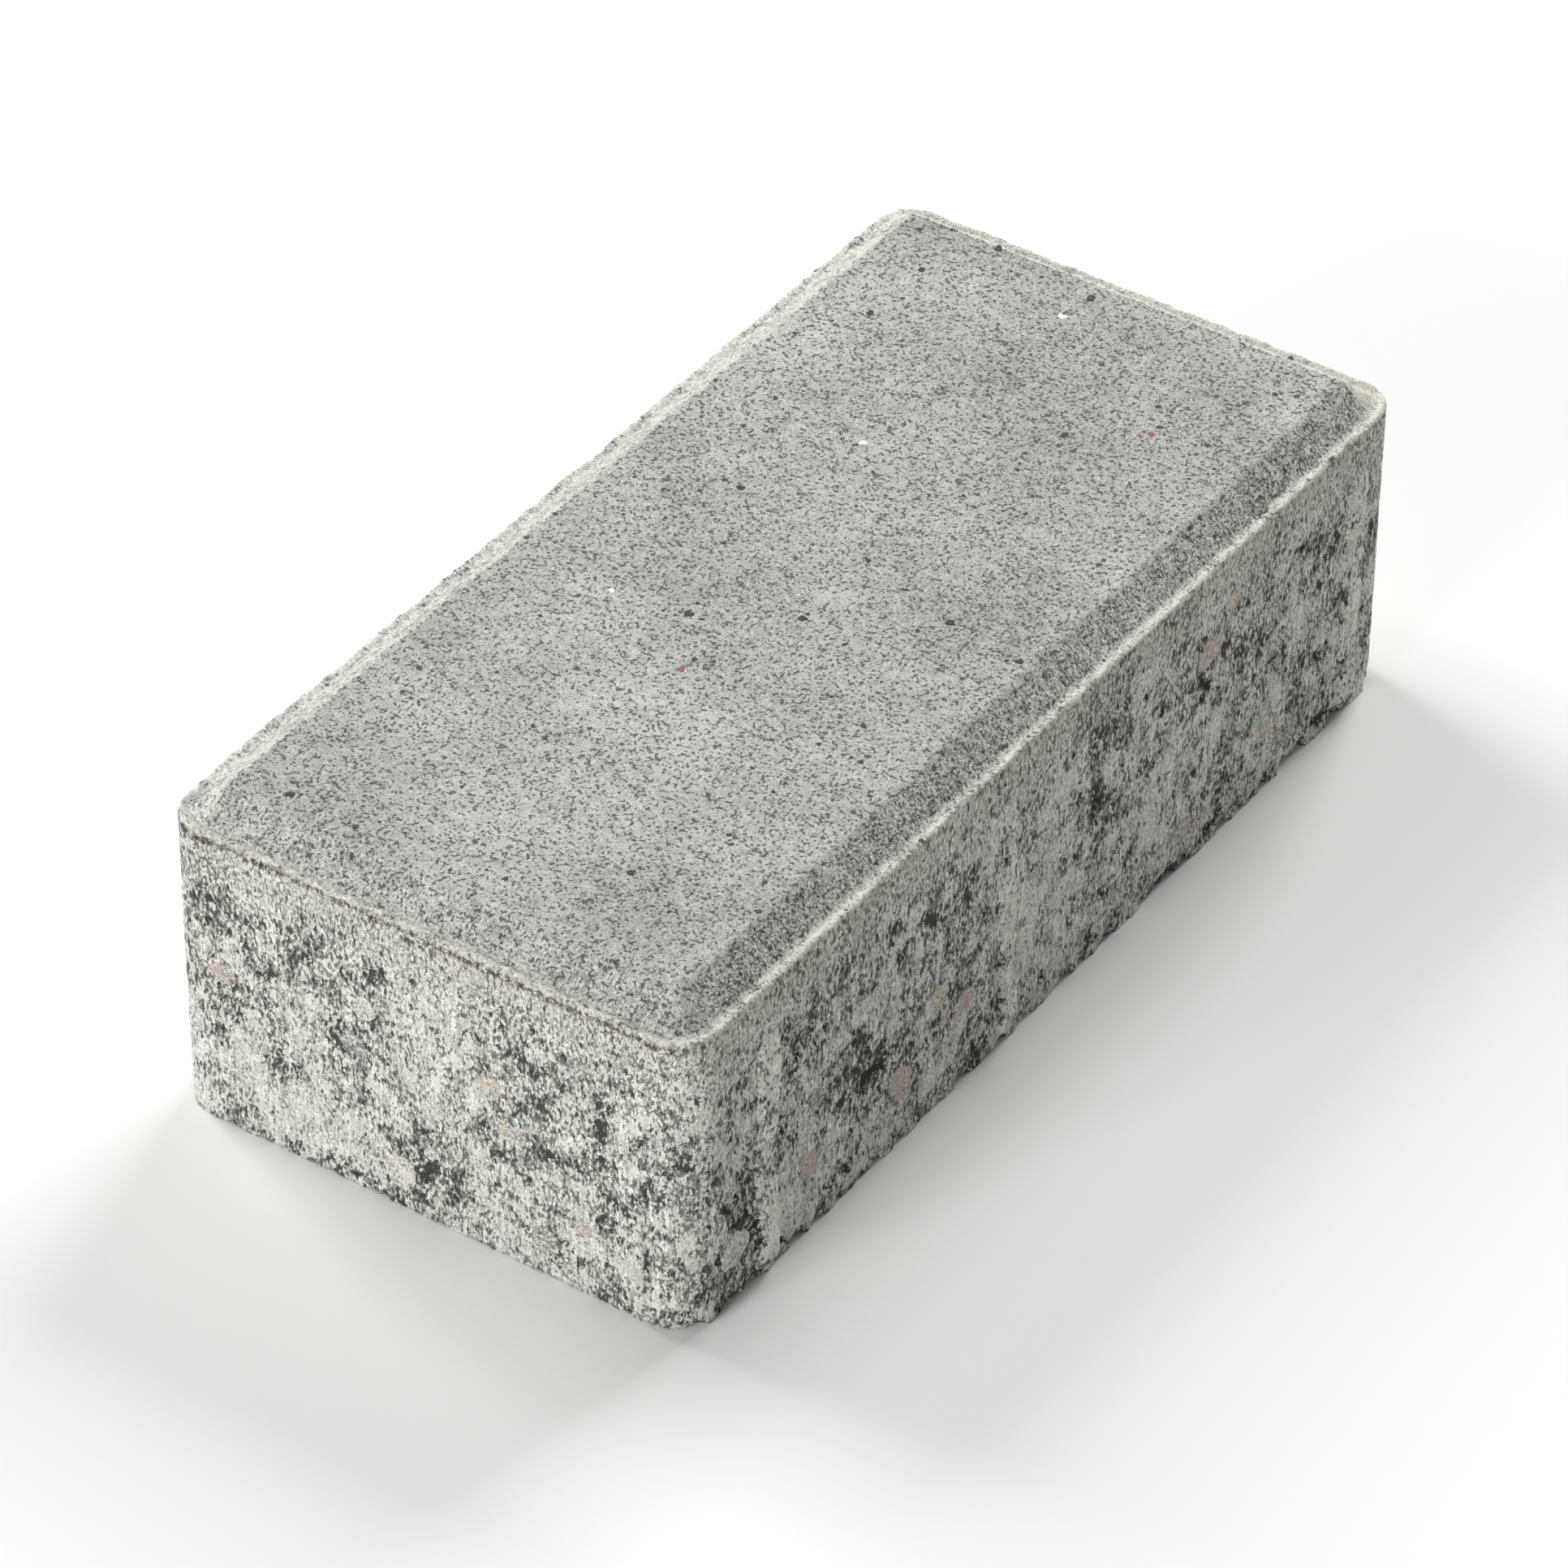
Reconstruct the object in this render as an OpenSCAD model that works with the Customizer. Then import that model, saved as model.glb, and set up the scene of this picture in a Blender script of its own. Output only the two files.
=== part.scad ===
// Rectangular concrete paving block, cast in two courses, with bevelled top edges,
// rounded upright corners, spacer nibs and stones that show at its faces.
// Millimetres. X is across the block, Y is along it, Z is up. The origin is at the
// middle of the bed face.

/* [Block] */
// Length of the block, without its nibs
block_length = 198; // [198:1:240]
// Width of the block, without its nibs
block_width = 97; // [97:1:140]
// Height of the block
block_height = 60; // [60:1:100]
// Radius of the upright corners
corner_radius = 7.2; // [5:0.1:7.2]
// Height of the fine face course at the middle of the block
face_height = 10; // [7.5:0.5:10]

/* [Top edge] */
// Width of the raised lip along the outer edge
lip_width = 1.8; // [1:0.1:3]
// Height of the lip above the foot of the bevel
lip_height = 0.8; // [0.3:0.1:1.2]
// Height from the foot of the bevel to the top face
bevel_drop = 4.5; // [2:0.5:6]

/* [Spacer nibs] */
// How far a nib stands out from the side
nib_proud = 1.5; // [0.5:0.1:3]
// Width of a nib at its contact face
nib_face = 4.6; // [3:0.2:6]
// How much wider a nib is at its root
nib_flare = 0.8; // [0:0.2:2]
// Gap from the top of a nib to the face course
nib_gap = 1; // [0.5:0.5:5]
// Height of the slope at the top of a nib
nib_slope = 3; // [1:0.5:6]

/* [Hidden] */
$fn = 64;

half_length = block_length / 2;
half_width = block_width / 2;
joint_z = block_height - face_height;
foot_z = block_height - bevel_drop;
lip_top = foot_z + lip_height;
lip_flat = lip_width / 3;
// The bevel runs in to the centre of each rounded corner.
bevel_run = corner_radius - lip_width;
nib_top = joint_z - nib_gap;
nib_root = 1;

// Nib centres along the two long sides. The second side is the first turned half a turn.
long_nibs = [-80, -14.5, 86];
// The one nib centre on each end
end_nib = 38;

// A stone is [distance along its side from the middle, height, radius]. The same stones
// show on the opposite side, turned half a turn.
pale_long = [[-88, 11, 3.6], [-55, 34, 3], [-41, 43, 2.4], [20, 20, 2.8], [68, 30, 3.4]];
pale_end = [[-11, 36, 2.4], [1, 43, 2.4], [-5, 7, 3.2], [-32, 17, 1.8]];
dark_long = [[-72, 43, 2], [-67, 25, 2.4], [31, 32, 2.2], [66, 7, 3.6], [78, 45, 1.8]];
dark_end = [[-13, 28, 2.8], [22, 7, 2.6], [28, 44, 2.2]];
red_long = [[-69, 14, 3], [-44, 12, 3.6], [-27, 16, 2.8], [42, 40, 3.4]];
red_end = [[-38, 30, 2.2], [29, 13, 1.8]];
tan_long = [[-34, 22, 2.8], [36, 8, 2.6], [48, 46, 2.4], [59, 13, 2.8]];
tan_end = [[12, 32, 2.8], [15, 25, 2.2]];

// A chip is [across the block, along it, radius].
black_chips = [
    [-24, 91, 1], [-4, 88, 0.9], [-31, 64, 0.7], [-31, 79, 0.7], [-9, -18, 0.8], [-21, 13, 0.7],
    [25, 3, 0.8], [6, -9, 0.7], [39, 1, 0.7], [-32, -88, 0.7], [13, 54, 0.7], [20, -74, 0.8],
];
white_chips = [[-5, 81, 0.8], [-22, -20, 0.7], [-12, 34, 0.7]];
red_chips = [[-2, -30, 0.8], [24, 62, 0.7]];

// How far a stone's centre lies inside the face that it shows at, as a share of its radius
stone_depth = 0.4;

// Plan of the block: a rectangle with rounded corners
module block_plan() {
    square([block_width - 2 * corner_radius, block_length], center = true);
    square([block_width, block_length - 2 * corner_radius], center = true);
    for (x = [-1, 1], y = [-1, 1])
        translate([x * (half_width - corner_radius), y * (half_length - corner_radius)])
            circle(r = corner_radius);
}

// Section of the face course outside the line of corner centres, from that line outwards
module edge_section() {
    polygon([
        [0, joint_z],
        [corner_radius, joint_z],
        [corner_radius, foot_z],
        [corner_radius - lip_flat, lip_top],
        [corner_radius - 2 * lip_flat, lip_top],
        [bevel_run, foot_z],
        [0, block_height],
    ]);
}

// One straight stretch of the edge, across the X axis at the given distance from the middle
module edge_run(distance, run) {
    translate([distance, run / 2, 0])
        rotate([90, 0, 0])
            linear_extrude(run)
                edge_section();
}

// The face course as cast, before the chips are seated
module face_body() {
    inner_width = block_width - 2 * corner_radius;
    inner_length = block_length - 2 * corner_radius;
    translate([-inner_width / 2, -inner_length / 2, joint_z])
        cube([inner_width, inner_length, face_height]);
    for (turn = [0, 180])
        rotate(turn) {
            edge_run(inner_width / 2, inner_length);
            rotate(90) edge_run(inner_length / 2, inner_width);
            translate([inner_width / 2, inner_length / 2, 0])
                rotate_extrude(angle = 90) edge_section();
            translate([-inner_width / 2, inner_length / 2, 0])
                rotate(90) rotate_extrude(angle = 90) edge_section();
        }
}

// One nib on the plane X = 0, standing out towards +X
module nib() {
    root_half = nib_face / 2 + nib_flare / 2;
    intersection() {
        linear_extrude(nib_top)
            polygon([
                [-nib_root, -root_half],
                [0, -root_half],
                [nib_proud, -nib_face / 2],
                [nib_proud, nib_face / 2],
                [0, root_half],
                [-nib_root, root_half],
            ]);
        translate([0, root_half, 0])
            rotate([90, 0, 0])
                linear_extrude(2 * root_half)
                    polygon([
                        [-nib_root, 0],
                        [nib_proud, 0],
                        [nib_proud, nib_top - nib_slope],
                        [0, nib_top],
                        [-nib_root, nib_top],
                    ]);
    }
}

// The base course as cast, before the stones are seated
module base_body() {
    linear_extrude(joint_z) block_plan();
    for (turn = [0, 180])
        rotate(turn) {
            for (y = long_nibs)
                translate([half_width, y, 0]) nib();
            translate([end_nib, -half_length, 0]) rotate(-90) nib();
        }
}

// One stone with its centre just inside the plane X = 0. As a pocket it is the whole ball;
// as a stone it is cut flush with that plane.
module stone(radius, pocket) {
    intersection() {
        translate([-stone_depth * radius, 0, 0]) rotate([0, 90, 0]) sphere(r = radius);
        if (!pocket)
            translate([-2 * radius, -radius, -radius]) cube(2 * radius);
    }
}

// Stones in the long sides and the ends, on both sides of the block
module side_stones(long_list, end_list, pocket) {
    for (turn = [0, 180])
        rotate(turn) {
            for (s = long_list)
                translate([half_width, s[0], s[1]]) stone(s[2], pocket);
            for (s = end_list)
                translate([s[0], -half_length, s[1]]) rotate(-90) stone(s[2], pocket);
        }
}

// Chips in the top face
module top_chips(chips, pocket) {
    for (c = chips)
        translate([c[0], c[1], block_height]) rotate([0, -90, 0]) stone(c[2], pocket);
}

module base_course() {
    color("#9a9a94")
        difference() {
            base_body();
            side_stones(
                concat(pale_long, dark_long, red_long, tan_long),
                concat(pale_end, dark_end, red_end, tan_end),
                pocket = true
            );
        }
}

module face_course() {
    color("#aeb0aa")
        difference() {
            face_body();
            top_chips(concat(black_chips, white_chips, red_chips), pocket = true);
        }
}

module pale_gravel() {
    color("#c9c8c0") side_stones(pale_long, pale_end, pocket = false);
}

module dark_gravel() {
    color("#4a4b4a") side_stones(dark_long, dark_end, pocket = false);
}

module red_gravel() {
    color("#a98a80") side_stones(red_long, red_end, pocket = false);
}

module tan_gravel() {
    color("#b3a88a") side_stones(tan_long, tan_end, pocket = false);
}

module black_grit() {
    color("#2c2d2f") top_chips(black_chips, pocket = false);
}

module white_grit() {
    color("#ecece6") top_chips(white_chips, pocket = false);
}

module red_grit() {
    color("#8f6358") top_chips(red_chips, pocket = false);
}

base_course();
face_course();
pale_gravel();
dark_gravel();
red_gravel();
tan_gravel();
black_grit();
white_grit();
red_grit();
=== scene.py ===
"""A concrete paving block with bevelled edges, spacer nibs and stones at its faces.

Lengths are millimetres unless a comment says metres, and the meshes are made in metres.
X is across the block, Y along it, Z up, with the origin under its middle.
"""

import math
import random

import bmesh
import bpy
import numpy as np
from mathutils import Matrix, Vector, noise


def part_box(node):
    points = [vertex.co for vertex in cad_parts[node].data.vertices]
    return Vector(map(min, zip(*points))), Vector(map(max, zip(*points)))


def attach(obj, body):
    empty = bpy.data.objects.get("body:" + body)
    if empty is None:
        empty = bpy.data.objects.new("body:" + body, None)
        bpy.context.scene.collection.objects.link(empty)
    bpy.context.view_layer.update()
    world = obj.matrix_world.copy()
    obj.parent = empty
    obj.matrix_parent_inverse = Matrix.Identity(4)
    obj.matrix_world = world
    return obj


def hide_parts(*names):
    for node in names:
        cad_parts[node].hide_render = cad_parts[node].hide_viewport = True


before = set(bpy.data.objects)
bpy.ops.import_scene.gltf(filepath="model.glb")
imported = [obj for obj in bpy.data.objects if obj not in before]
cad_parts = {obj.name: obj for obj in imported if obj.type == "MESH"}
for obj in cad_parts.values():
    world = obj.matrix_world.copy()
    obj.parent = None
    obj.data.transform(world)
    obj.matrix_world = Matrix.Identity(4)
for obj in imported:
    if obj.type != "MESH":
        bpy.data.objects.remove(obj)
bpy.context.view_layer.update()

MM = 0.001

# ---------------------------------------------------------------- sizes from the frame
face_low, face_high = (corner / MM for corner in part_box("face_course"))
base_low, base_high = (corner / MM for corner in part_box("base_course"))
HALF_WIDTH = face_high.x
HALF_LENGTH = face_high.y
TOP = face_high.z
JOINT = face_low.z
NIB_PROUD = base_high.x - HALF_WIDTH

# The top edge. All but the rise of the lip is as in the CAD model, where the lip is 0.8 high.
CORNER_RADIUS = 7.2
LIP_WIDTH = 1.8
LIP_RISE = 0.5
BEVEL_DROP = 4.5
BEVEL_RUN = CORNER_RADIUS - LIP_WIDTH
FOOT = TOP - BEVEL_DROP
INNER_X = HALF_WIDTH - CORNER_RADIUS
INNER_Y = HALF_LENGTH - CORNER_RADIUS

# Spacer nibs: their centres on the +X side and on the -Y end. The other side and end have
# the same nibs turned half a turn.
LONG_NIBS = (-80, -14.5, 86)
END_NIB = 38
# Width of a nib at its root, at its contact face as cast, and of its crest now that it is worn
NIB_ROOT = 5.4
NIB_FACE = 4.6
NIB_WORN = 3.4
# Where a nib ends under the face course, and the height of the slope that leads up to there
NIB_TOP = JOINT - 1
NIB_SLOPE = 3

# The crumbled bottom edge: how far in and up it is gone at worst, and how high that reaches
CRUMBLE_IN = 1.6
CRUMBLE_UP = 2.0
CRUMBLE_IN_REACH = 3.5
CRUMBLE_UP_REACH = 8

# Section of the raised lip: share of its width, share of its height
LIP_SHAPE = ((0.2, 0.45), (0.42, 0.85), (0.62, 1), (0.82, 0.85), (0.94, 0.4), (1, -0.3))

# Mesh steps: spacing of the grid, columns in a rounded corner, and rings down the bevel. Hidden
# and bed faces keep only one grid line in every COARSE.
CELL = 0.65
CORNER_STEPS = 16
BEVEL_STEPS = 9
COARSE = 4
# How far in from the outer edge the rings of the underside are
UNDER_RINGS = (1.6, 2.4, 3.4, 5)
# How far the underside may be hollowed at its outer edge
UNDER_SINK = 0.9
# Points closer than this to each other, or to a plane, count as touching
TOUCH = 0.01
# Multiplied by this, points lose their height, so that noise there is the same all the way up
FLATTEN = np.array((1, 1, 0))

# Deep voids as cast, (distance along the side, height, reach along, reach up). The opposite
# side and end have them too, turned half a turn.
LONG_VOIDS = (
    (-77, 43, 4, 3), (-77, 25, 5, 4), (-24, 4, 7, 5), (-3, 6, 4, 3), (10, 31, 4, 5),
    (24.5, 28, 3, 4), (41, 34, 4, 8), (46, 3.5, 5, 3), (77, 18, 7, 3), (78, 4, 7, 4),
    (80, 38, 4, 3), (91, 34, 3, 4), (62, 24, 5, 5), (-60, 6, 5, 3), (-33, 12, 5, 6),
    (-86, 16, 7, 12), (-68, 36, 7, 7), (-52, 20, 6, 8),
)
END_VOIDS = (
    (-27.5, 16.5, 7, 5), (-12.5, 30, 6, 5), (0, 9, 6, 4), (-36, 40, 5, 4), (29, 46.5, 4, 3),
    (-36, 23, 4, 4), (34, 18, 3, 12), (23, 6.5, 5, 4), (-8, 44, 5, 3), (31, 34, 3, 9),
)

# How far a stone's centre lies inside the face that it shows at, as a share of its radius
STONE_DEPTH = 0.4

# Colours of the cement skin on the lip and the back bevels, of the yellow tinge under them, and
# of the brown line under the arris. On the left and far bevels, which face the lamps, the pale
# colour is partly cement skin and partly painted light.
PALE_PASTE_AND_LIGHT = (0.75, 0.75, 0.675)
YELLOW_TINGE = (0.42, 0.40, 0.30, 1)
BROWN_LINE = (0.075, 0.062, 0.04, 1)

# The view of the block, in degrees, metres and millimetres of focal length
VIEW_AZIMUTH = -55.73
VIEW_ELEVATION = 38.74
VIEW_ROLL = 0.48
VIEW_DISTANCE = 1.1658
VIEW_AIM = Vector((0.7, -6.0, 23.1)) * MM
FOCAL_LENGTH = 171

# Soft lights, each (name, azimuth, elevation, strength), with their distance and size in metres
LIGHTS = (("left", 174, 39, 0.50), ("back", 92, 38, 0.56), ("front", 264, 15, 0.58))
LIGHT_DISTANCE = 2.6
LIGHT_SIZE = 1.2
SKY_STRENGTH = 0.20

# Half the width of the floor in metres, and its colour
FLOOR_REACH = 4.0
FLOOR_COLOUR = (0.92, 0.92, 0.92, 1)


# ---------------------------------------------------------------- relief of the concrete
def smooth(low, high, value):
    """0 below low, 1 above high, and a smooth rise between."""
    share = np.clip((value - low) / (high - low), 0, 1)
    return share * share * (3 - 2 * share)


def cloud(points, size, octaves=4, stretch=1.0, offset=0.0):
    """Fractal noise from about -1 to 1, with lumps about size across. Stretch lengthens them in Z."""
    scaled = np.array(points) / size + offset
    scaled[:, 2] /= stretch
    return np.array([noise.fractal(p, 1.0, 2.0, octaves) for p in scaled])


def cells(points, size, offset=0.0):
    """Distance to the nearest of scattered centres about size apart, 0 at a centre."""
    scaled = np.array(points) / size + offset
    return np.array([noise.voronoi(p)[0][0] for p in scaled])


def nib_rise(points):
    """How far the spacer nibs stand out at points on the sides."""
    x, y, z = points.T
    rise = np.zeros(len(points))
    for turn in (1, -1):
        on_long = turn * x > HALF_WIDTH - TOUCH
        on_end = -turn * y > HALF_LENGTH - TOUCH
        for centre in LONG_NIBS:
            rise += on_long * smooth(-NIB_ROOT / 2, -NIB_WORN / 2, -np.abs(turn * y - centre))
        rise += on_end * smooth(-NIB_ROOT / 2, -NIB_WORN / 2, -np.abs(turn * x - END_NIB))
    worn = np.clip(0.66 + 0.5 * cloud(points, 6, 3, stretch=2.5, offset=12.5), 0.3, 1)
    return NIB_PROUD * worn * rise * np.clip((NIB_TOP - z) / NIB_SLOPE, 0, 1) * smooth(-1, 5, z)


def void_share(points):
    """How close each point is to the middle of a listed void, 0 far away and 1 at its middle."""
    x, y, z = points.T
    share = np.zeros(len(points))
    for turn in (1, -1):
        on_long = turn * x > HALF_WIDTH - 2
        on_end = -turn * y > HALF_LENGTH - 2
        for voids, here, along in ((LONG_VOIDS, on_long, turn * y), (END_VOIDS, on_end, turn * x)):
            for place, height, reach, reach_up in voids:
                away = ((along - place) / reach) ** 2 + ((z - height) / reach_up) ** 2
                share = np.maximum(share, here * np.exp(-2 * away))
    return share


def side_relief(points):
    """Outward height of the concrete at points on the upright sides, and how much painted shade its
    hollows get there.
    """
    z = points[:, 2]
    coarse = 1 - smooth(JOINT - 6, JOINT + 1, z + 3 * cloud(points, 9, 2, offset=3.1))
    void = void_share(points)
    valley = smooth(0.35, 0.75, cells(points, 5.5)) * coarse
    openness = cloud(points, 2.4, 5, stretch=1.2, offset=7.7)
    openness = openness + 0.25 * cloud(points, 32, 2, offset=1.9)
    voids = smooth(0.55, 0.95, openness + 0.6 * void - 0.9 * (1 - coarse))
    pits = smooth(0.25, 0.6, cloud(points, 1.6, 3, offset=5.3)) * (0.3 + 0.7 * coarse)
    drag = cloud(points, 1.3, 2, stretch=9, offset=2.2)
    wave = cloud(points, 26, 2, offset=4.4)
    height = 0.07 * wave + 0.06 * drag - 0.10 * valley - 0.25 * pits - 0.8 * voids
    # Painted shade: valleys, pits and voids are marked for more and darker pores in the colour.
    hollow = np.clip(0.2 * valley + 0.25 * pits + 0.6 * voids + 0.5 * void * coarse, 0, 1)
    return height, hollow


def crumble(points):
    """How much the bottom edge has crumbled away at points on the sides, 0 to 1."""
    x, y, z = points.T
    on_long = smooth(HALF_WIDTH - 3, HALF_WIDTH - 0.5, np.abs(x))
    worse = smooth(20, 50, np.sign(x) * y)
    flat = points * FLATTEN
    ragged = cloud(flat, 3.2, 4, offset=6.6) + 0.4 * cloud(flat, 17, 2, offset=8.8)
    return smooth(-0.5, 0.9, ragged) * (0.18 + on_long * (0.42 + 0.4 * worse))


# ---------------------------------------------------------------- mesh of the two courses
def spaced(stops, step):
    """Places from the first stop to the last, about step apart, with every stop among them."""
    places = [stops[0]]
    for start, end in zip(stops, stops[1:]):
        count = max(1, round((end - start) / step))
        places += [start + (end - start) * k / count for k in range(1, count + 1)]
    return places


def grid_lines(half, nibs):
    """Grid lines from -half to half that run along every nib's edges."""
    edges = {-half, half}
    for centre in nibs:
        for side in (NIB_FACE / 2, NIB_ROOT / 2):
            for sign in (1, -1):
                edges |= {sign * (centre - side), sign * (centre + side)}
    return spaced(sorted(edges), CELL)


LINES_X = grid_lines(INNER_X, (END_NIB,))
LINES_Y = grid_lines(INNER_Y, LONG_NIBS)


def rim_columns():
    """The columns round the block: the grid corner that each springs from and its outward angle."""
    last_x = len(LINES_X) - 1
    last_y = len(LINES_Y) - 1
    sides = (
        [(last_x, j) for j in range(last_y + 1)],
        [(i, last_y) for i in range(last_x, -1, -1)],
        [(0, j) for j in range(last_y, -1, -1)],
        [(i, 0) for i in range(last_x + 1)],
    )
    columns = []
    for number, side in enumerate(sides):
        columns += [(i, j, 90 * number) for i, j in side]
        columns += [(*side[-1], 90 * (number + k / CORNER_STEPS)) for k in range(1, CORNER_STEPS)]
    return columns


COLUMNS = rim_columns()
RIM_START = np.array([(LINES_X[i], LINES_Y[j], 0) for i, j, _ in COLUMNS])
RIM_OUT = np.array([
    (math.cos(math.radians(angle)), math.sin(math.radians(angle)), 0) for _, _, angle in COLUMNS
])


def fan(face, hub):
    """A face with points along its edges, cut into triangles round one corner. A quad stays whole."""
    if len(face) == 4:
        return [face]
    first = face.index(hub)
    turned = face[first:] + face[:first]
    return [[hub, here, after] for here, after in zip(turned[1:], turned[2:])]


class Shell:
    """A closed mesh under construction, made of rings round the block and two caps."""

    def __init__(self):
        self.points = []
        self.faces = []
        self.values = {"hollow": [], "reach": [], "rise": []}

    def add(self, points, **given):
        """Adds points with their values, and gives back the number of the first."""
        first = len(self.points)
        self.points += [tuple(p) for p in points]
        for label, values in self.values.items():
            values += list(np.broadcast_to(given.get(label, 0.0), len(points)))
        return first

    def ring(self, points, **given):
        """Adds one point for each column, and gives back their numbers."""
        first = self.add(points, **given)
        return list(range(first, first + len(COLUMNS)))

    def band(self, upper, lower):
        """Joins two rings with quads, or triangles where two points of a ring are one point."""
        for k in range(len(upper)):
            after = (k + 1) % len(upper)
            corners = [upper[after], upper[k], lower[k], lower[after]]
            kept = [c for n, c in enumerate(corners) if c != corners[n - 1]]
            if len(kept) > 2:
                self.faces.append(kept)

    def cap(self, height_at, every, upward, reach):
        """Adds a grid over the inner rectangle, one line in every few. Gives back its rim ring."""
        keep_x = sorted(set(range(0, len(LINES_X), every)) | {len(LINES_X) - 1})
        keep_y = sorted(set(range(0, len(LINES_Y), every)) | {len(LINES_Y) - 1})
        rim = {(i, j) for i, j, _ in COLUMNS}
        keys = sorted(rim | {(i, j) for i in keep_x for j in keep_y})
        flat = np.array([(LINES_X[i], LINES_Y[j], 0) for i, j in keys])
        flat[:, 2] = height_at(flat)
        first = self.add(flat, reach=reach)
        number = {key: first + n for n, key in enumerate(keys)}
        for i0, i1 in zip(keep_x, keep_x[1:]):
            for j0, j1 in zip(keep_y, keep_y[1:]):
                loop = [(i, j0) for i in range(i0, i1)] + [(i1, j) for j in range(j0, j1)]
                loop += [(i, j1) for i in range(i1, i0, -1)] + [(i0, j) for j in range(j1, j0, -1)]
                face = [number[key] for key in loop if key in number]
                inner_i = min(i0, i1, key=lambda i: abs(LINES_X[i]))
                inner_j = min(j0, j1, key=lambda j: abs(LINES_Y[j]))
                self.faces += fan(face if upward else face[::-1], number[inner_i, inner_j])
        return [number[i, j] for i, j, _ in COLUMNS]

    def make(self, name):
        """The finished object, in metres, with smooth shading and its values as attributes."""
        mesh = bpy.data.meshes.new(name)
        mesh.from_pydata([tuple(MM * c for c in p) for p in self.points], [], self.faces)
        for label, values in self.values.items():
            attribute = mesh.attributes.new(label, "FLOAT", "POINT")
            attribute.data.foreach_set("value", np.array(values, np.float32))
        mesh.polygons.foreach_set("use_smooth", [True] * len(mesh.polygons))
        mesh.validate()
        made = bpy.data.objects.new(name, mesh)
        bpy.context.scene.collection.objects.link(made)
        return made


def side_ring(shell, z):
    """One ring on the upright sides at height z."""
    points = RIM_START + CORNER_RADIUS * RIM_OUT + np.array((0, 0, z))
    height, hollow = side_relief(points)
    crumbled = crumble(points)
    near_floor = np.clip(1 - z / CRUMBLE_IN_REACH, 0, 1) ** 1.5
    rise = nib_rise(points)
    out = height + rise - CRUMBLE_IN * crumbled * near_floor
    points = points + RIM_OUT * np.minimum(out, NIB_PROUD)[:, None]
    points[:, 2] += CRUMBLE_UP * crumbled * np.clip(1 - z / CRUMBLE_UP_REACH, 0, 1) ** 2
    # The crumbled foot gets more painted shade.
    hollow = np.clip(hollow + 0.9 * crumbled * near_floor, 0, 1)
    return shell.ring(points, hollow=hollow, reach=CORNER_RADIUS + (FOOT - z), rise=rise / NIB_PROUD)


def under_ring(shell, reach_in, sink):
    """One ring of the underside, reach_in from its outer edge and hollowed by up to about sink."""
    points = RIM_START + (CORNER_RADIUS - reach_in) * RIM_OUT
    points[:, 2] += sink * np.clip(cloud(points, 4, 3, offset=2.5) * 0.6 + 0.1, 0, 1)
    # The underside gets an even share of painted shade.
    return shell.ring(points, hollow=0.3, reach=CORNER_RADIUS + FOOT)


def joint_height(points):
    """The hidden joint between the two courses is level."""
    return np.full(len(points), JOINT)


def bed_height(points):
    """The bed face: level, with shallow pits where the mix didn't fill out."""
    return 0.5 * np.clip(cloud(points, 5, 3, offset=2.5), 0, 1)


def make_base_course():
    """The coarse lower course, with its nibs and ragged bottom edge."""
    shell = Shell()
    joint_rim = shell.cap(joint_height, COARSE, upward=True, reach=0)
    rows = round(JOINT / CELL)
    rings = [side_ring(shell, JOINT * (1 - k / rows)) for k in range(rows + 1)]
    shell.band(joint_rim, rings[0])
    for upper, lower in zip(rings, rings[1:]):
        shell.band(upper, lower)
    last = rings[-1]
    for reach_in in UNDER_RINGS:
        inner = under_ring(shell, reach_in, UNDER_SINK * (1 - reach_in / CORNER_RADIUS))
        shell.band(last, inner)
        last = inner
    bed_rim = shell.cap(bed_height, COARSE, upward=False, reach=CORNER_RADIUS + FOOT)
    shell.band(last, bed_rim)
    return shell.make("base_concrete_body")


def top_height(points):
    """The wearing face: almost level, with a faint float texture."""
    level = TOP - 0.04
    return level + 0.03 * cloud(points, 9, 3, offset=1.2) + 0.02 * cloud(points, 1.8, 2, offset=3.3)


def edge_profile():
    """The section from the top face to the side, as (distance out, height, share of lip)."""
    bevel = [
        (BEVEL_RUN * k / BEVEL_STEPS, TOP - (TOP - FOOT) * k / BEVEL_STEPS, 0)
        for k in range(BEVEL_STEPS + 1)
    ]
    lip = [(BEVEL_RUN + LIP_WIDTH * along, FOOT + LIP_RISE * up, 1) for along, up in LIP_SHAPE]
    return bevel + lip


def make_face_course():
    """The fine upper course: top face, bevel, raised lip and the start of the sides."""
    shell = Shell()
    last = shell.cap(top_height, 1, upward=True, reach=0)
    profile = edge_profile()
    below = (CORNER_RADIUS, JOINT, 1)
    for before, (out, z, on_lip), after in zip(profile, profile[1:], profile[2:] + [below]):
        facing = Vector((before[1] - after[1], after[0] - before[0])).normalized()
        points = RIM_START + out * RIM_OUT + np.array((0, 0, z))
        # The relief lifts the surface the way it faces, and the sway moves the lip in and out.
        relief = 0.05 * cloud(points, 2.2, 3, offset=3.3) + 0.05 * cloud(points, 11, 2, offset=1.2)
        relief += on_lip * (0.30 * cloud(points, 1.7, 3, offset=8.1) - 0.06)
        sway = on_lip * 0.35 * cloud(points * FLATTEN, 6, 3, offset=4.7)
        points = points + np.minimum(sway, CORNER_RADIUS - out)[:, None] * RIM_OUT
        points = points + facing[0] * relief[:, None] * RIM_OUT
        points[:, 2] += facing[1] * relief
        ring = shell.ring(points, reach=out)
        shell.band(last, ring)
        last = ring
    rows = round((FOOT - JOINT) / CELL)
    for k in range(1, rows + 1):
        ring = side_ring(shell, FOOT + (JOINT - FOOT) * k / rows)
        shell.band(last, ring)
        last = ring
    joint_rim = shell.cap(joint_height, COARSE, upward=False, reach=CORNER_RADIUS)
    shell.band(last, joint_rim)
    return shell.make("face_concrete_body")


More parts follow.
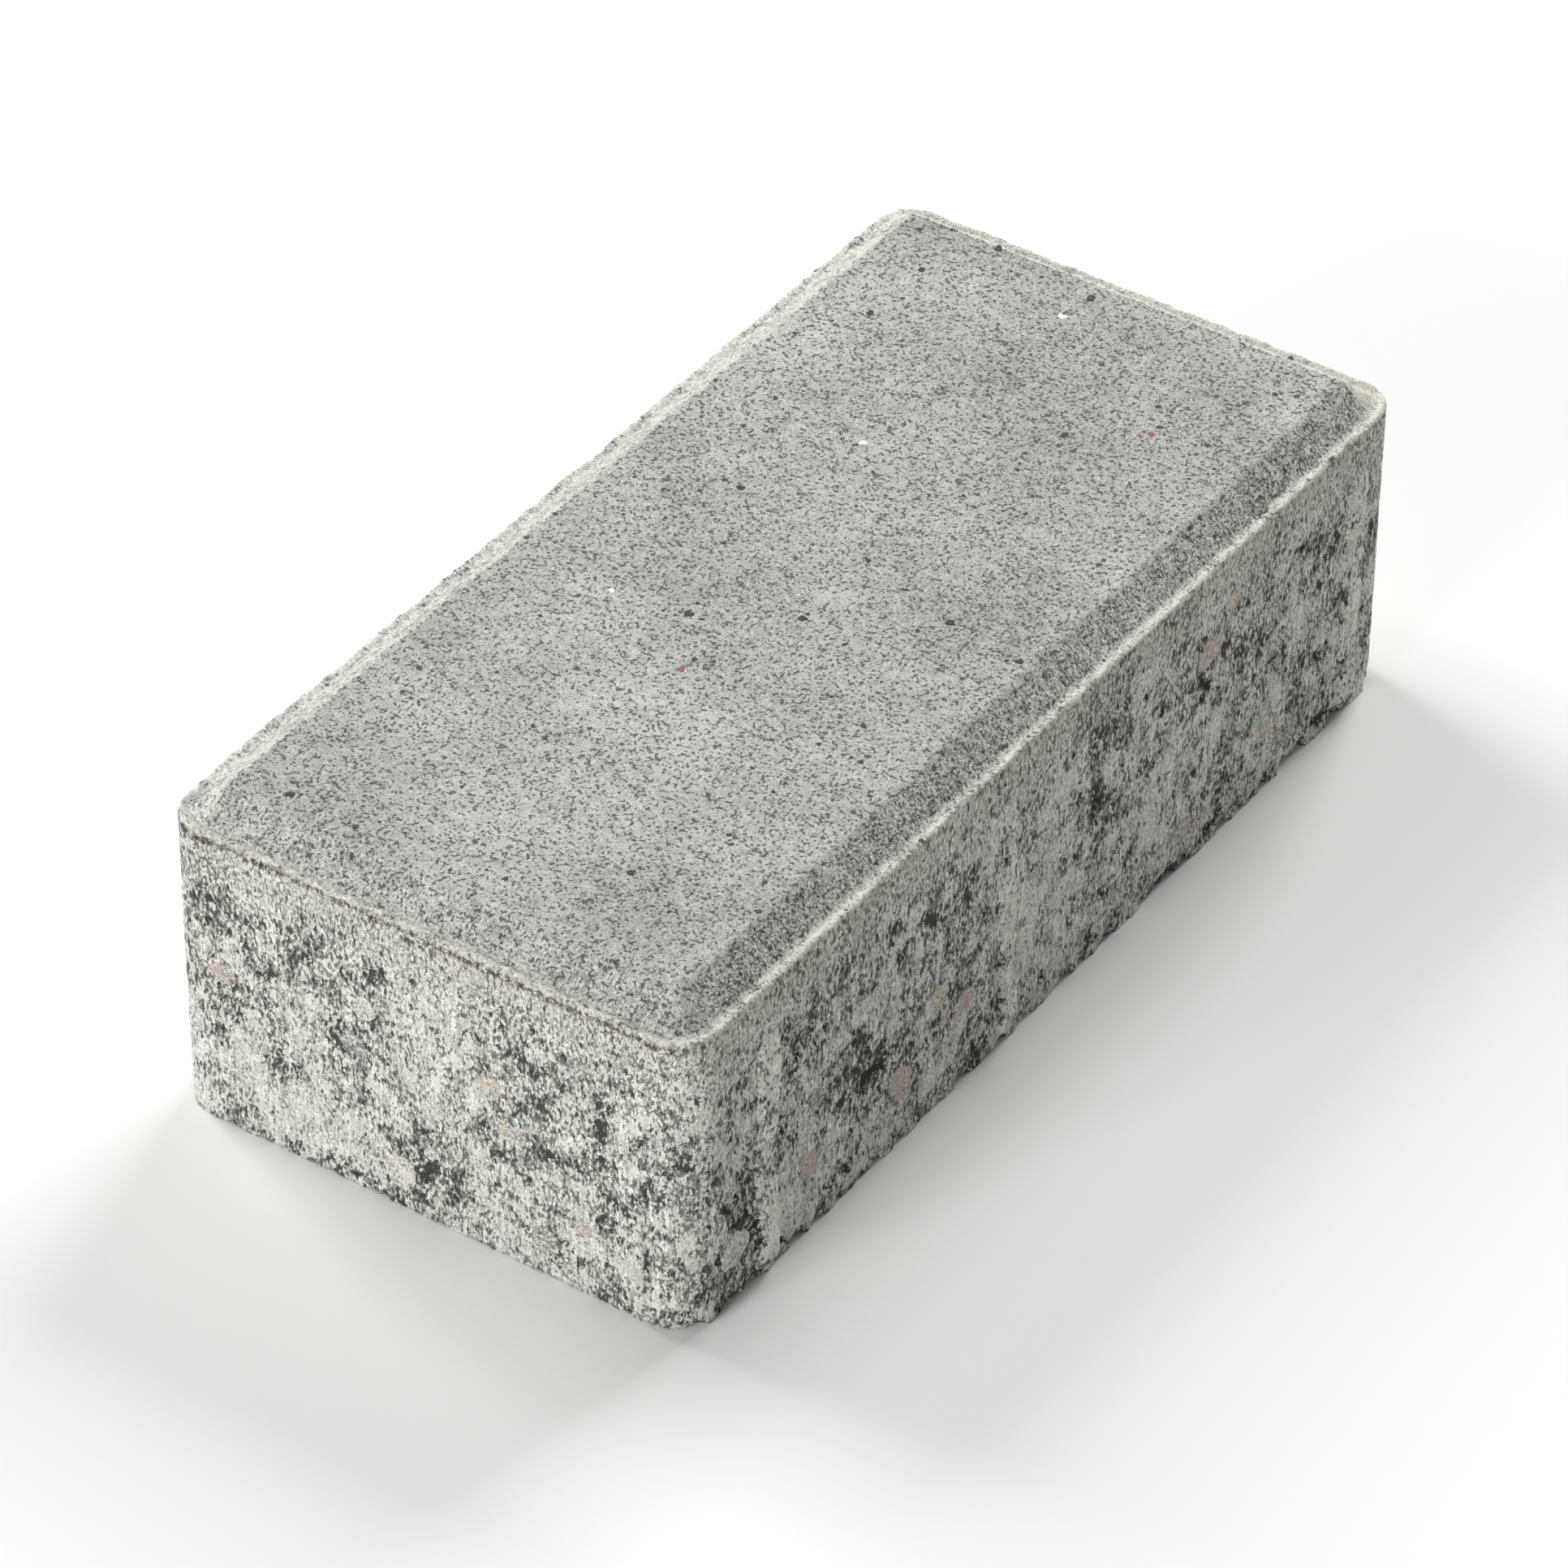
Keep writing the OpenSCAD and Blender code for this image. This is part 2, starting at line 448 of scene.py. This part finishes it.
# ---------------------------------------------------------------- stones and chips
def stone_places(node):
    """Centre, radius and outward direction of each stone in a CAD node."""
    mesh = bmesh.new()
    mesh.from_mesh(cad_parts[node].data)
    bmesh.ops.remove_doubles(mesh, verts=mesh.verts, dist=TOUCH * MM)
    waiting = set(mesh.verts)
    places = []
    while waiting:
        island = [waiting.pop()]
        for vertex in island:
            for edge in vertex.link_edges:
                other = edge.other_vert(vertex)
                if other in waiting:
                    waiting.remove(other)
                    island.append(other)
        corners = np.array([v.co for v in island]) / MM
        low, high = corners.min(0), corners.max(0)
        walls = (
            (Vector((1, 0, 0)), high[0] - HALF_WIDTH), (Vector((-1, 0, 0)), -low[0] - HALF_WIDTH),
            (Vector((0, 1, 0)), high[1] - HALF_LENGTH), (Vector((0, -1, 0)), -low[1] - HALF_LENGTH),
            (Vector((0, 0, 1)), high[2] - TOP),
        )
        outward = max(walls, key=lambda wall: wall[1])[0]
        size = high - low
        radius = sorted(size)[1] / 2
        middle = Vector((low + high) / 2)
        depth = abs(Vector(size).dot(outward))
        places.append((middle + outward * depth / 2, radius, outward))
    mesh.free()
    return sorted(places, key=lambda place: tuple(place[0]))


def make_stones(node, name, seed, detail, roughness, proud):
    """Irregular stones in one object, each with its shown side worn level with the concrete."""
    chance = random.Random(seed)
    mesh = bmesh.new()
    for surface, radius, outward in stone_places(node):
        ball = bmesh.ops.create_icosphere(mesh, subdivisions=detail, radius=1)["verts"]
        shift = Vector([chance.uniform(0, 50) for _ in range(3)])
        squash = Vector([chance.uniform(0.8, 1.1) for _ in range(3)])
        turn = Matrix.Rotation(chance.uniform(0, math.tau), 3, outward)
        for vertex in ball:
            lump = 1 + roughness * noise.fractal(vertex.co * 1.3 + shift, 1.0, 2.0, 3)
            place = turn @ (vertex.co * squash) * radius * lump
            height = place.dot(outward) - STONE_DEPTH * radius
            level = proud + 0.03 * noise.fractal(place * 0.9 + shift, 1.0, 2.0, 3)
            worn = min(height, level)
            place += outward * (worn - place.dot(outward))
            vertex.co = (surface + place) * MM
    data = bpy.data.meshes.new(name)
    mesh.to_mesh(data)
    mesh.free()
    data.polygons.foreach_set("use_smooth", [True] * len(data.polygons))
    made = bpy.data.objects.new(name, data)
    bpy.context.scene.collection.objects.link(made)
    return made


# ---------------------------------------------------------------- material building blocks
class Paint:
    """A node material with short ways to add the nodes that the concrete needs."""

    def __init__(self, name):
        self.material = bpy.data.materials.new(name)
        self.material.use_nodes = True
        self.tree = self.material.node_tree
        self.shader = self.tree.nodes["Principled BSDF"]
        metres = self.node("ShaderNodeTexCoord").outputs["Object"]
        self.place = self.scaled(metres, (1 / MM, 1 / MM, 1 / MM))

    def node(self, kind, **inputs):
        """Adds a node of that kind, with its inputs given by their labels."""
        made = self.tree.nodes.new(kind)
        for label, value in inputs.items():
            self.feed(made.inputs[label], value)
        return made

    def feed(self, socket, value):
        """Links another node's output to a socket, or sets a plain value on it."""
        if isinstance(value, bpy.types.NodeSocket):
            self.tree.links.new(value, socket)
        else:
            socket.default_value = value

    def scaled(self, vector, scale, shift=(0, 0, 0)):
        """A place scaled along each axis and then moved."""
        made = self.node("ShaderNodeMapping", Vector=vector, Scale=scale, Location=shift)
        return made.outputs["Vector"]

    def math(self, operation, first, second=0.0):
        """One sum on two numbers or sockets."""
        made = self.tree.nodes.new("ShaderNodeMath")
        made.operation = operation
        self.feed(made.inputs[0], first)
        self.feed(made.inputs[1], second)
        return made.outputs[0]

    def range(self, value, low, high, start=0.0, end=1.0):
        """Start below low, end above high, and a smooth change between."""
        made = self.tree.nodes.new("ShaderNodeMapRange")
        made.interpolation_type = "SMOOTHSTEP"
        for label, given in zip(("Value", "From Min", "From Max", "To Min", "To Max"),
                                (value, low, high, start, end)):
            self.feed(made.inputs[label], given)
        return made.outputs["Result"]

    def axis(self, letter):
        """The X, Y or Z coordinate in millimetres."""
        return self.node("ShaderNodeSeparateXYZ", Vector=self.place).outputs[letter]

    def cloud(self, size, detail=3.0, rough=0.55, stretch=1.0, shift=0.0):
        """Noise with lumps about size millimetres across, near 0.5 on average."""
        place = self.scaled(self.place, (1 / size, 1 / size, 1 / (size * stretch)), (shift,) * 3)
        made = self.node("ShaderNodeTexNoise", Vector=place, Scale=1.0,
                         Detail=detail, Roughness=rough)
        return made.outputs["Fac"]

    def specks(self, spacing, biggest, share):
        """Uneven specks, 1 inside: one in each of a share of the cells, about spacing wide."""
        place = self.scaled(self.place, (1 / spacing,) * 3)
        made = self.node("ShaderNodeTexVoronoi", Vector=place, Scale=1.0)
        parts = self.node("ShaderNodeSeparateColor", Color=made.outputs["Color"])
        edge = self.math("MULTIPLY", parts.outputs["Red"], biggest / spacing)
        uneven = self.math("MULTIPLY", self.cloud(biggest, 2, 0.6), 1.6)
        away = self.math("MULTIPLY", self.math("DIVIDE", made.outputs["Distance"], edge), uneven)
        inside = self.range(away, 0.7, 1.0, 1.0, 0.0)
        chosen = self.range(parts.outputs["Green"], 1 - share, 1 - share * 0.6)
        return self.math("MULTIPLY", inside, chosen)

    def attribute(self, name):
        """A value that the mesh carries at each of its points."""
        made = self.tree.nodes.new("ShaderNodeAttribute")
        made.attribute_name = name
        return made.outputs["Fac"]

    def mix(self, factor, first, second):
        """Blends two colours."""
        made = self.tree.nodes.new("ShaderNodeMix")
        made.data_type = "RGBA"
        for number, given in ((0, factor), (6, first), (7, second)):
            self.feed(made.inputs[number], given)
        return made.outputs[2]

    def dim(self, colour, factor):
        """Multiplies a colour by a number."""
        made = self.tree.nodes.new("ShaderNodeVectorMath")
        made.operation = "SCALE"
        self.feed(made.inputs[0], colour)
        self.feed(made.inputs["Scale"], factor)
        return made.outputs["Vector"]

    def bump(self, height, depth, below=None):
        """A bump of the given depth in millimetres, over another bump if one is given."""
        made = self.node("ShaderNodeBump", Height=height, Distance=depth * MM, Strength=1.0)
        if below is not None:
            self.feed(made.inputs["Normal"], below)
        return made.outputs["Normal"]


def grey(value, warmth=0.0):
    """A cement grey as linear colour, warmer if warmth is above 0."""
    return (value * (0.99 + warmth), value, value * (0.945 - 1.6 * warmth), 1.0)


def add_up(paint, parts, start=0.0):
    """The sum of (socket, weight) pairs."""
    total = start
    for socket, weight in parts:
        total = paint.math("ADD", paint.math("MULTIPLY", socket, weight), total)
    return total


# ---------------------------------------------------------------- materials
def side_look(paint):
    """Colour and bump height of the moulded sides: pale cement with fine pores, painted dark partly
    as dark sand and partly as painted shade.
    """
    z = paint.axis("Z")
    wandering_z = add_up(paint, [(paint.cloud(8), 8), (z, 1)], -4)
    coarse = paint.range(wandering_z, JOINT - 8, JOINT + 1, 1, 0)
    # Painted shade from the relief: hollows and the crumbled foot get more and darker pores.
    hollow = paint.attribute("hollow")
    rise = paint.attribute("rise")
    grain = paint.cloud(0.60, 4, 0.75, stretch=2.0)
    dust = paint.cloud(0.45, 3, 0.85, stretch=1.4, shift=17.0)
    clots = paint.cloud(1.3, 3, 0.7, stretch=1.6, shift=13.0)
    lumps = paint.cloud(3.8, 4, 0.6, shift=4.0)
    patches = paint.cloud(15, 2, 0.5, shift=9.0)
    streaks = paint.cloud(0.8, 3, 0.7, stretch=9, shift=2.0)
    open_coarse = [(lumps, 0.54), (patches, 0.38), (clots, 0.35), (hollow, 0.13)]
    open_fine = [(streaks, 0.5), (patches, 0.2), (clots, 0.3), (hollow, 0.08)]
    mixed = paint.node("ShaderNodeMix", Factor=coarse,
                       A=add_up(paint, open_fine, -0.555), B=add_up(paint, open_coarse, -0.678))
    on_end = paint.range(paint.math("ABSOLUTE", paint.axis("Y")), HALF_LENGTH - 3, HALF_LENGTH - 1)
    rubbed = paint.math("MULTIPLY", rise, paint.range(on_end, 0, 1, 1.0, 0.3))
    foot_shade = paint.math("MULTIPLY", hollow, paint.range(z, 1.0, 5.0, 1, 0))
    # Worn nibs and the ends differ from the plain sides, and the crumbled foot gets more dark pores
    # as painted shade.
    effects = [(rubbed, -0.07), (on_end, -0.014), (z, 0.0008), (foot_shade, 0.12)]
    openness = add_up(paint, [(mixed.outputs[0], 1.0)] + effects, -0.0224)
    pore_and_shade = paint.range(add_up(paint, [(grain, 1.2), (openness, 1.0)], -0.1), 0.485, 0.535)
    depth = add_up(paint, [(grain, 0.8), (clots, 0.3), (openness, 1.0), (hollow, 0.04)], -0.05)
    hole_shadow = paint.range(depth, 0.585, 0.625)
    bright = paint.range(add_up(paint, [(dust, 1.0), (openness, -0.3)]), 0.54, 0.61)
    tones = [(dust, 3.6), (clots, 0.8), (streaks, 1.8), (lumps, -0.4), (rubbed, 0.28)]
    tone = add_up(paint, tones, -1.90)
    colour = paint.dim(grey(0.675, 0.005)[:3], tone)
    colour = paint.mix(paint.math("MULTIPLY", bright, 0.7), colour, grey(0.95, 0.01))
    # Painted shade: pores are painted dark grey, partly as dark sand. The deepest holes are painted
    # near black as painted shadow.
    colour = paint.mix(paint.math("MULTIPLY", pore_and_shade, 0.86), colour, grey(0.125, -0.01))
    colour = paint.mix(paint.math("MULTIPLY", hole_shadow, 0.92), colour, grey(0.03, -0.03))
    height = add_up(paint, [(pore_and_shade, -0.5), (hole_shadow, -0.7), (bright, 0.25), (tone, 0.2)], 0.75)
    return stain(paint, colour), height


def stain(paint, colour):
    """Adds a yellow tinge near the top of the sides, and a broken brown line under the arris."""
    broad = paint.cloud(6, 3, 0.6, shift=21.0)
    close = paint.cloud(0.9, 2, 0.6, shift=25.0)
    reach = paint.attribute("reach")
    below = add_up(paint, [(reach, 1.0), (broad, 2.4), (close, 1.6)], -2.0 - CORNER_RADIUS)
    fading = paint.range(below, 1.0, 9.0, 0.30, 0.08)
    tinge = paint.math("MULTIPLY", fading, paint.cloud(4, 3, 0.6, shift=19.0))
    colour = paint.mix(tinge, colour, YELLOW_TINGE)
    line = paint.math("MULTIPLY", paint.range(below, -0.1, 0.2), paint.range(below, 0.8, 1.7, 1, 0))
    broken = paint.range(paint.cloud(1.1, 4, 0.8, shift=23.0), 0.45, 0.52)
    near_end = paint.range(paint.axis("Y"), 3 - HALF_LENGTH, 1.5 - HALF_LENGTH, 0.1, 0.9)
    mark = paint.math("MULTIPLY", paint.math("MULTIPLY", line, broken), near_end)
    return paint.mix(mark, colour, BROWN_LINE)


def top_look(paint):
    """Colour and bump height of the wearing face, the bevel and the lip."""
    reach = paint.attribute("reach")
    dust = paint.cloud(0.45, 3, 0.85, shift=6.0)
    mottle = paint.cloud(2.2, 3, 0.6, shift=1.0)
    blotches = paint.cloud(14, 3, 0.55, shift=3.0)
    drift = paint.cloud(45, 1, 0.5, shift=5.0)
    gathered = add_up(paint, [(paint.cloud(0.62, 2, 0.6, shift=8.0), 1.0), (mottle, -0.15)])
    fine_sand = paint.range(gathered, 0.505, 0.535)
    coarse_sand = paint.range(paint.cloud(1.2, 2, 0.65, shift=31.0), 0.635, 0.66)
    sand = paint.math("MAXIMUM", fine_sand, coarse_sand)
    black = paint.specks(1.5, 0.5, 0.16)
    white = paint.range(paint.cloud(0.6, 2, 0.6, shift=12.0), 0.59, 0.63)
    on_near = paint.range(paint.axis("Y"), -INNER_Y - 0.2, 0.4 - INNER_Y, 1, 0)
    on_bevel = paint.range(reach, 0.2, 0.8)
    on_bevel = paint.math("MULTIPLY", on_bevel, paint.range(on_near, 0, 1, 1.0, 0.45))
    uneven = add_up(paint, [(dust, 1.0), (mottle, 0.25)], -0.625)
    speckle = paint.math("MULTIPLY", uneven, add_up(paint, [(on_bevel, 3.8)], 2.4))
    tone = add_up(paint, [(speckle, 1.0), (mottle, 0.1), (blotches, 0.6), (drift, 0.6)], 0.35)
    colour = paint.dim(grey(0.47)[:3], tone)
    colour = paint.mix(paint.math("MULTIPLY", white, 0.5), colour, grey(0.80))
    lip = paint.range(reach, BEVEL_RUN - 0.9, BEVEL_RUN)
    # Painted light: the left and far bevels, which face the lamps, are painted paler, partly as
    # cement skin. The lip's pale colour is cement skin.
    on_left = paint.range(paint.axis("X"), -INNER_X, 0.6 - INNER_X, 1, 0)
    on_far = paint.range(paint.axis("Y"), INNER_Y - 0.4, INNER_Y + 0.2)
    left_painted_light = paint.math("MULTIPLY", on_left, 0.68)
    far_painted_light = paint.math("MULTIPLY", on_far, 4.0)
    back_painted_light = paint.math("MAXIMUM", left_painted_light, far_painted_light)
    lip_paste = paint.math("MULTIPLY", lip, paint.range(on_near, 0, 1, 1.0, 0.75))
    small_clots = paint.cloud(1.1, 3, 0.75, shift=14.0)
    wide_clots = paint.cloud(5, 2, 0.6, shift=15.0)
    clots = paint.range(add_up(paint, [(small_clots, 0.6), (wide_clots, 0.4)]), 0.43, 0.53, 0.25, 1.0)
    paste_and_painted_light = paint.math("MULTIPLY", paint.math("MAXIMUM", back_painted_light, lip_paste), clots)
    pale_tone = paint.range(dust, 0.35, 0.65, 0.78, 1.22)
    colour = paint.mix(paste_and_painted_light, colour, paint.dim(PALE_PASTE_AND_LIGHT, pale_tone))
    dark = paint.math("MULTIPLY", sand, paint.range(paste_and_painted_light, 0.2, 0.8, 0.85, 0.35))
    colour = paint.mix(dark, colour, grey(0.085, -0.01))
    colour = paint.mix(paint.math("MULTIPLY", black, 0.85), colour, grey(0.045))
    height = add_up(paint, [(dust, 0.8), (sand, -0.4), (black, -0.4), (white, 0.2)], 0.3)
    return colour, height


def concrete(name, top_course):
    """The block's concrete. The top course adds the fine wearing face, bevel and lip."""
    paint = Paint(name)
    colour, height = side_look(paint)
    if top_course:
        face, face_height = top_look(paint)
        on_side = paint.range(paint.attribute("reach"), CORNER_RADIUS - 0.3, CORNER_RADIUS + 0.2)
        colour = paint.mix(on_side, face, colour)
        height = paint.node("ShaderNodeMix", Factor=on_side, A=face_height, B=height).outputs[0]
    paint.feed(paint.shader.inputs["Base Color"], colour)
    paint.feed(paint.shader.inputs["Roughness"], paint.range(height, 0.2, 0.8, 0.95, 0.8))
    paint.feed(paint.shader.inputs["Normal"], paint.bump(height, 0.25))
    paint.shader.inputs["Specular IOR Level"].default_value = 0.25
    return paint.material


def stone(name, colour, film):
    """Stone with its own grain, partly under a film of cement."""
    paint = Paint(name)
    grain = paint.cloud(0.55, 4, 0.8)
    veins = paint.cloud(2.4, 4, 0.6, shift=11.0)
    tone = add_up(paint, [(grain, 0.8), (veins, 0.7)], 0.25)
    body = paint.dim(colour[:3], tone)
    smear = paint.cloud(1.2, 4, 0.75, shift=7.0)
    covered = paint.range(smear, 0.62 - 0.24 * film, 0.78 - 0.24 * film)
    cement = paint.mix(paint.range(grain, 0.42, 0.58), grey(0.18), grey(0.70, 0.01))
    paint.feed(paint.shader.inputs["Base Color"], paint.mix(covered, body, cement))
    paint.feed(paint.shader.inputs["Roughness"], paint.range(covered, 0, 1, 0.6, 0.92))
    height = add_up(paint, [(grain, 1), (veins, 1)])
    paint.feed(paint.shader.inputs["Normal"], paint.bump(height, 0.15))
    return paint.material


# ---------------------------------------------------------------- assembly
def dress(piece, material, slot, *nodes):
    """Gives a piece its material, hangs it under the root body and hides the CAD parts that it stands
    for.
    """
    piece.data.materials.clear()
    piece.data.materials.append(material)
    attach(piece, "root")
    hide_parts(*nodes)


dress(make_base_course(), concrete("base concrete", False), "base_concrete", "base_course")
dress(make_face_course(), concrete("face concrete", True), "face_concrete", "face_course")

# How finely a pebble and a chip are divided
GRAVEL = 4
GRIT = 3
# Each row: CAD node, name of the piece, slot, seed, ball detail, roughness, how proud, colour, film
STONES = (
    ("pale_gravel", "pale_stones", "pale_stone", 1, GRAVEL, 0.22, 0.02, grey(0.66, 0.02), 0.9),
    ("dark_gravel", "dark_stones", "dark_stone", 2, GRAVEL, 0.25, 0.00, grey(0.12, 0.01), 1.0),
    ("red_gravel", "red_stones", "red_stone", 3, GRAVEL, 0.22, 0.02, (0.48, 0.34, 0.30, 1), 0.85),
    ("tan_gravel", "tan_stones", "tan_stone", 4, GRAVEL, 0.22, 0.02, (0.55, 0.43, 0.29, 1), 0.95),
    ("black_grit", "black_chips", "black_stone", 5, GRIT, 0.45, 0.03, grey(0.03), 0.0),
    ("white_grit", "white_chips", "white_stone", 6, GRIT, 0.45, 0.03, grey(0.85), 0.0),
    ("red_grit", "red_chips", "red_stone", 7, GRIT, 0.45, 0.03, (0.27, 0.12, 0.09, 1), 0.0),
)
for node, name, slot, seed, detail, roughness, proud, colour, film in STONES:
    stones = make_stones(node, name, seed, detail, roughness, proud)
    dress(stones, stone(name, colour, film), slot, node)


# ---------------------------------------------------------------- floor, light and camera
def toward(azimuth, elevation):
    """The direction at that azimuth, counted from +X towards +Y, and elevation."""
    turn, rise = math.radians(azimuth), math.radians(elevation)
    return Vector((math.cos(rise) * math.cos(turn), math.cos(rise) * math.sin(turn), math.sin(rise)))


def make_floor():
    """A plain pale floor, level with the bed face."""
    mesh = bpy.data.meshes.new("floor")
    signs = ((-1, -1), (1, -1), (1, 1), (-1, 1))
    mesh.from_pydata([(FLOOR_REACH * x, FLOOR_REACH * y, 0) for x, y in signs], [], [(0, 1, 2, 3)])
    floor = bpy.data.objects.new("floor", mesh)
    bpy.context.scene.collection.objects.link(floor)
    material = bpy.data.materials.new("pale floor")
    material.use_nodes = True
    shader = material.node_tree.nodes["Principled BSDF"]
    shader.inputs["Base Color"].default_value = FLOOR_COLOUR
    shader.inputs["Roughness"].default_value = 0.9
    shader.inputs["Specular IOR Level"].default_value = 0.0
    mesh.materials.append(material)


def make_light(name, azimuth, elevation, strength):
    """A square soft light that faces the middle of the block. Strength is its light on the block."""
    light = bpy.data.lights.new(name, "AREA")
    light.shape = "SQUARE"
    light.size = LIGHT_SIZE
    light.energy = strength * math.pi * LIGHT_DISTANCE ** 2 * 4
    lamp = bpy.data.objects.new(name, light)
    direction = toward(azimuth, elevation)
    lamp.location = Vector((0, 0, TOP / 2 * MM)) + direction * LIGHT_DISTANCE
    lamp.rotation_euler = direction.to_track_quat("Z", "Y").to_euler()
    bpy.context.scene.collection.objects.link(lamp)


def make_sky(strength):
    """Even white light from all round."""
    world = bpy.data.worlds.new("studio")
    world.use_nodes = True
    background = world.node_tree.nodes["Background"]
    background.inputs["Color"].default_value = (1, 1, 1, 1)
    background.inputs["Strength"].default_value = strength
    bpy.context.scene.world = world


def make_camera():
    """The camera at the angle, distance and focal length that match the view of the block."""
    data = bpy.data.cameras.new("camera")
    data.sensor_width = 36
    data.lens = FOCAL_LENGTH
    data.clip_end = 20
    camera = bpy.data.objects.new("camera", data)
    back = toward(VIEW_AZIMUTH, VIEW_ELEVATION)
    right = Vector((0, 0, 1)).cross(back).normalized()
    level = Matrix((right, back.cross(right), back)).transposed()
    rolled = Matrix.Rotation(math.radians(VIEW_ROLL), 3, back) @ level
    camera.matrix_world = Matrix.Translation(VIEW_AIM + back * VIEW_DISTANCE) @ rolled.to_4x4()
    bpy.context.scene.collection.objects.link(camera)
    bpy.context.scene.camera = camera


make_floor()
for name, azimuth, elevation, strength in LIGHTS:
    make_light(name, azimuth, elevation, strength)
make_sky(SKY_STRENGTH)
make_camera()
bpy.context.scene.view_settings.view_transform = "Standard"
